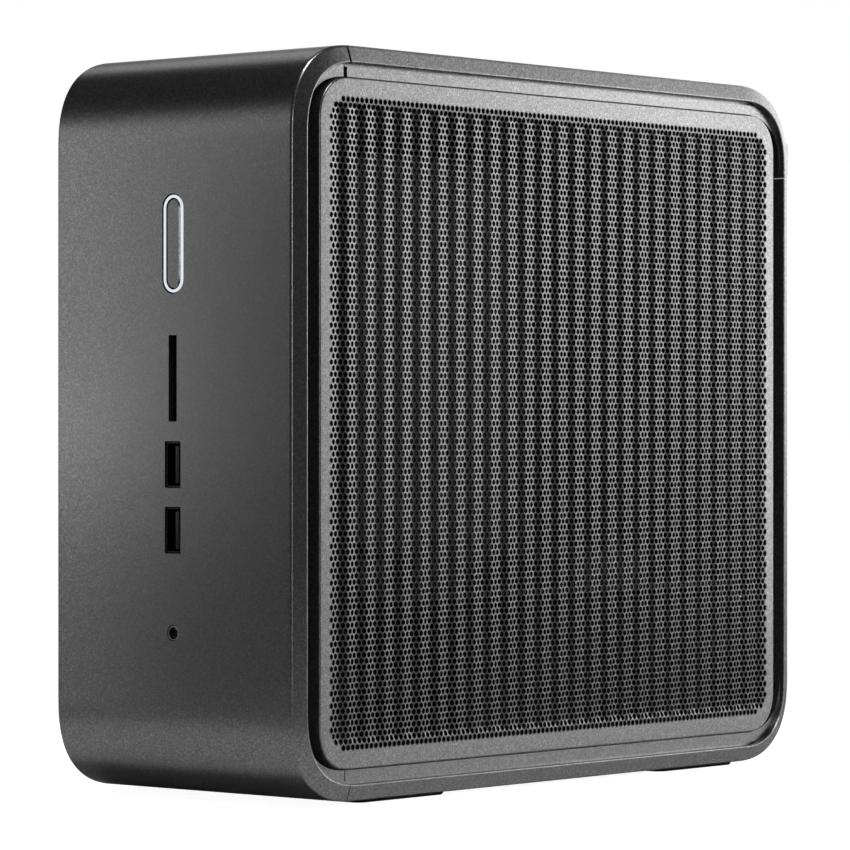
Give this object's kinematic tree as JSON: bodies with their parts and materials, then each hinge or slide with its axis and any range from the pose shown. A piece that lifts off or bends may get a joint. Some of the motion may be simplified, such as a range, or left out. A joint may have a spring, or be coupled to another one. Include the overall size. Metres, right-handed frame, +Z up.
{
  "type": "mini pc",
  "caption": "Compact upright desktop computer: graphite case with rounded front, perforated side panels, lift-off fan lid, front power button, card slot and sockets.",
  "frame": {"origin": "on the ground, under the centre of the overall box, midway between the front face and the lid's rear finger lip", "axes": "+Z up; the front face with the power button looks towards -Y, and X runs across the narrow width"},
  "size_m": [0.096, 0.2404, 0.216],
  "materials": {
    "case_paint": "satin metallic graphite paint with a fine sparkle",
    "panel_paint": "satin metallic grey paint, a little lighter than the case",
    "chassis_steel": "black powder coat on steel sheet",
    "bare_steel": "plain nickel-plated steel",
    "foot_rubber": "matt black rubber",
    "light_guide": "milky light guide, lit bluish white",
    "black_plastic": "moulded black plastic",
    "circuit_board": "dark solder mask",
    "heatsink": "bare aluminium",
    "fan_plastic": "moulded black fan plastic",
    "cable_sleeve": "black braided sleeve"
  },
  "bodies": {
    "case": {"front_bezel": "case_paint", "base_shell": "case_paint", "left_side_panel": "panel_paint", "right_side_panel": "panel_paint", "left_inner_frame": "chassis_steel", "right_inner_frame": "chassis_steel", "psu_tray": "chassis_steel", "board_shelf": "chassis_steel", "front_bulkhead": "chassis_steel", "rear_panel": "chassis_steel", "slot_cover_inner": "chassis_steel", "slot_cover_outer": "chassis_steel", "psu_case": "chassis_steel", "compute_bracket": "chassis_steel", "front_usb_lower": "bare_steel", "front_usb_upper": "bare_steel", "psu_screw_left": "bare_steel", "psu_screw_right": "bare_steel", "processor": "bare_steel", "rear_usb_stack_upper": "bare_steel", "rear_usb_stack_lower": "bare_steel", "rear_lan_upper": "bare_steel", "rear_lan_lower": "bare_steel", "rear_usb_c_upper": "bare_steel", "rear_usb_c_lower": "bare_steel", "rear_video": "bare_steel", "front_foot": "foot_rubber", "rear_foot": "foot_rubber", "power_button_ring": "light_guide", "button_switch": "black_plastic", "sd_card_slot": "black_plastic", "front_audio_jack": "black_plastic", "rear_audio_jack": "black_plastic", "psu_inlet": "black_plastic", "atx_connector": "black_plastic", "compute_slot": "black_plastic", "graphics_slot": "black_plastic", "expansion_slot": "black_plastic", "compute_cover": "black_plastic", "blower_base": "black_plastic", "front_io_board": "circuit_board", "baseboard": "circuit_board", "compute_board": "circuit_board", "memory_upper": "circuit_board", "memory_lower": "circuit_board", "ssd": "circuit_board", "compute_heatsink": "heatsink", "psu_harness": "cable_sleeve"},
    "lid": {"top_lid": "case_paint", "top_grille": "panel_paint", "lid_fan_front_frame": "fan_plastic", "lid_fan_rear_frame": "fan_plastic"},
    "front_lid_fan": {"lid_fan_front_rotor": "fan_plastic"},
    "rear_lid_fan": {"lid_fan_rear_rotor": "fan_plastic"},
    "left_thumbscrew": {"thumbscrew_left": "bare_steel"},
    "right_thumbscrew": {"thumbscrew_right": "bare_steel"},
    "button": {"power_button": "case_paint"},
    "blower": {"compute_blower_rotor": "fan_plastic"},
    "supply_fan": {"psu_fan_rotor": "fan_plastic"}
  },
  "joints": [
    {"name": "lid_lift", "type": "slide", "parent": "case", "child": "lid", "axis": [0, 0, 1], "range_m": [0, 0.06]},
    {"name": "front_lid_fan_spin", "type": "hinge", "parent": "lid", "child": "front_lid_fan", "pos_m": [0, -0.0372, 0.2068], "axis": [0, 0, 1], "continuous": true},
    {"name": "rear_lid_fan_spin", "type": "hinge", "parent": "lid", "child": "rear_lid_fan", "pos_m": [0, 0.0448, 0.2068], "axis": [0, 0, 1], "continuous": true},
    {"name": "left_thumbscrew_turn", "type": "hinge", "parent": "lid", "child": "left_thumbscrew", "pos_m": [-0.033, 0.1178, 0.1934], "axis": [0, 1, 0], "continuous": true},
    {"name": "right_thumbscrew_turn", "type": "hinge", "parent": "lid", "child": "right_thumbscrew", "pos_m": [0.033, 0.1178, 0.1934], "axis": [0, 1, 0], "continuous": true},
    {"name": "power_press", "type": "slide", "parent": "case", "child": "button", "axis": [0, 1, 0], "range_m": [0, 0.001], "stiffness_N_per_m": 1200, "springref_m": -0.0003},
    {"name": "blower_spin", "type": "hinge", "parent": "case", "child": "blower", "pos_m": [-0.031, -0.0402, 0.131], "axis": [1, 0, 0], "continuous": true},
    {"name": "supply_fan_spin", "type": "hinge", "parent": "case", "child": "supply_fan", "pos_m": [0.019, 0.1048, 0.0322], "axis": [0, 1, 0], "continuous": true}
  ]
}
